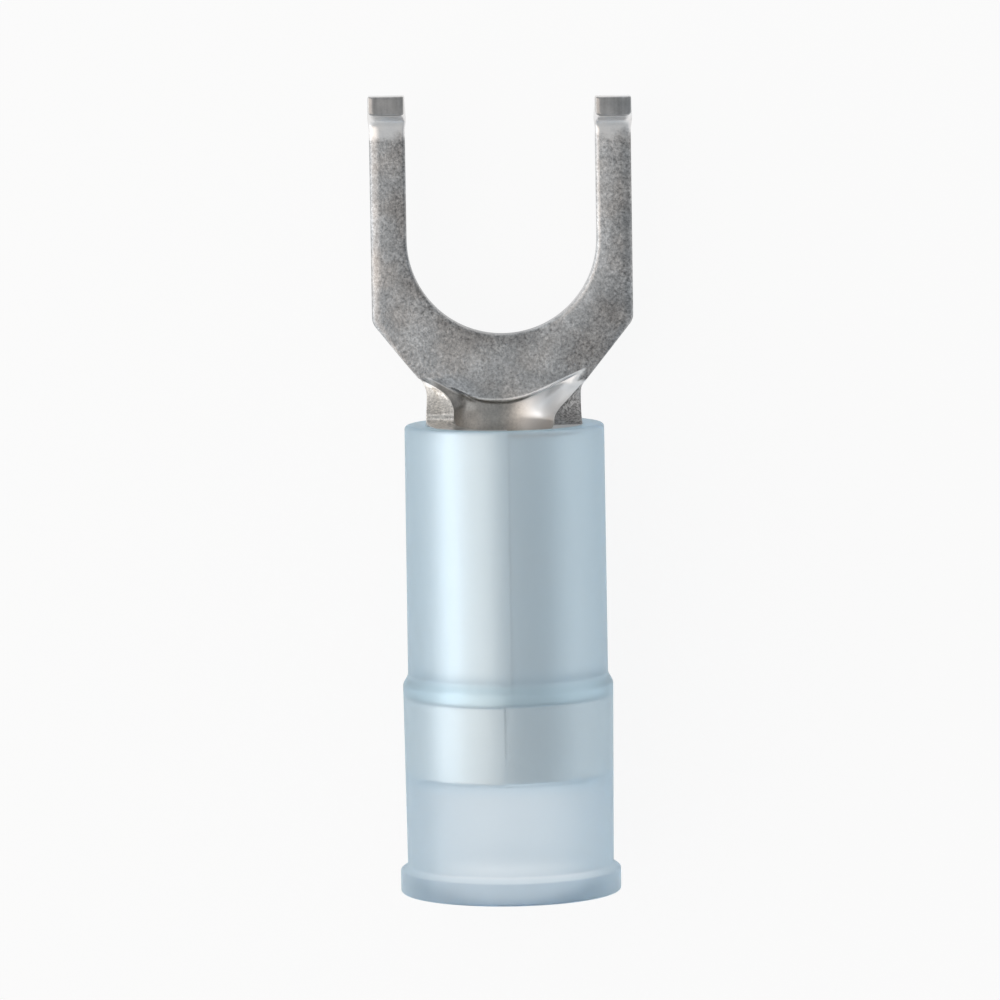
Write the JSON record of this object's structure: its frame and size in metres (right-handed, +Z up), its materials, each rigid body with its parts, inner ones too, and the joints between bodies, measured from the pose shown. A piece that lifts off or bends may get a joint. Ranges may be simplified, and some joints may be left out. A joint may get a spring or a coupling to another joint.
{
  "type": "fork terminal",
  "caption": "Flanged fork crimp terminal with a rolled metal barrel, an inner grip sleeve and a stepped translucent blue insulator with a flared wire entry.",
  "frame": {"origin": "middle of the overall box, at its bottom, below the barrel's axis", "axes": "+Y along the barrel from the wire entry to the fork's tips, +Z up through the seam side, on which the tips' flanges stand"},
  "size_m": [0.0076, 0.0228, 0.0063],
  "materials": {
    "tin_plate": "grained tin plate on copper alloy",
    "sleeve_plate": "smooth tin plate",
    "blue_nylon": "translucent, smooth"
  },
  "bodies": {
    "root": {"fork_terminal": "tin_plate", "grip_sleeve": "sleeve_plate", "nylon_insulator": "blue_nylon"}
  },
  "joints": []
}
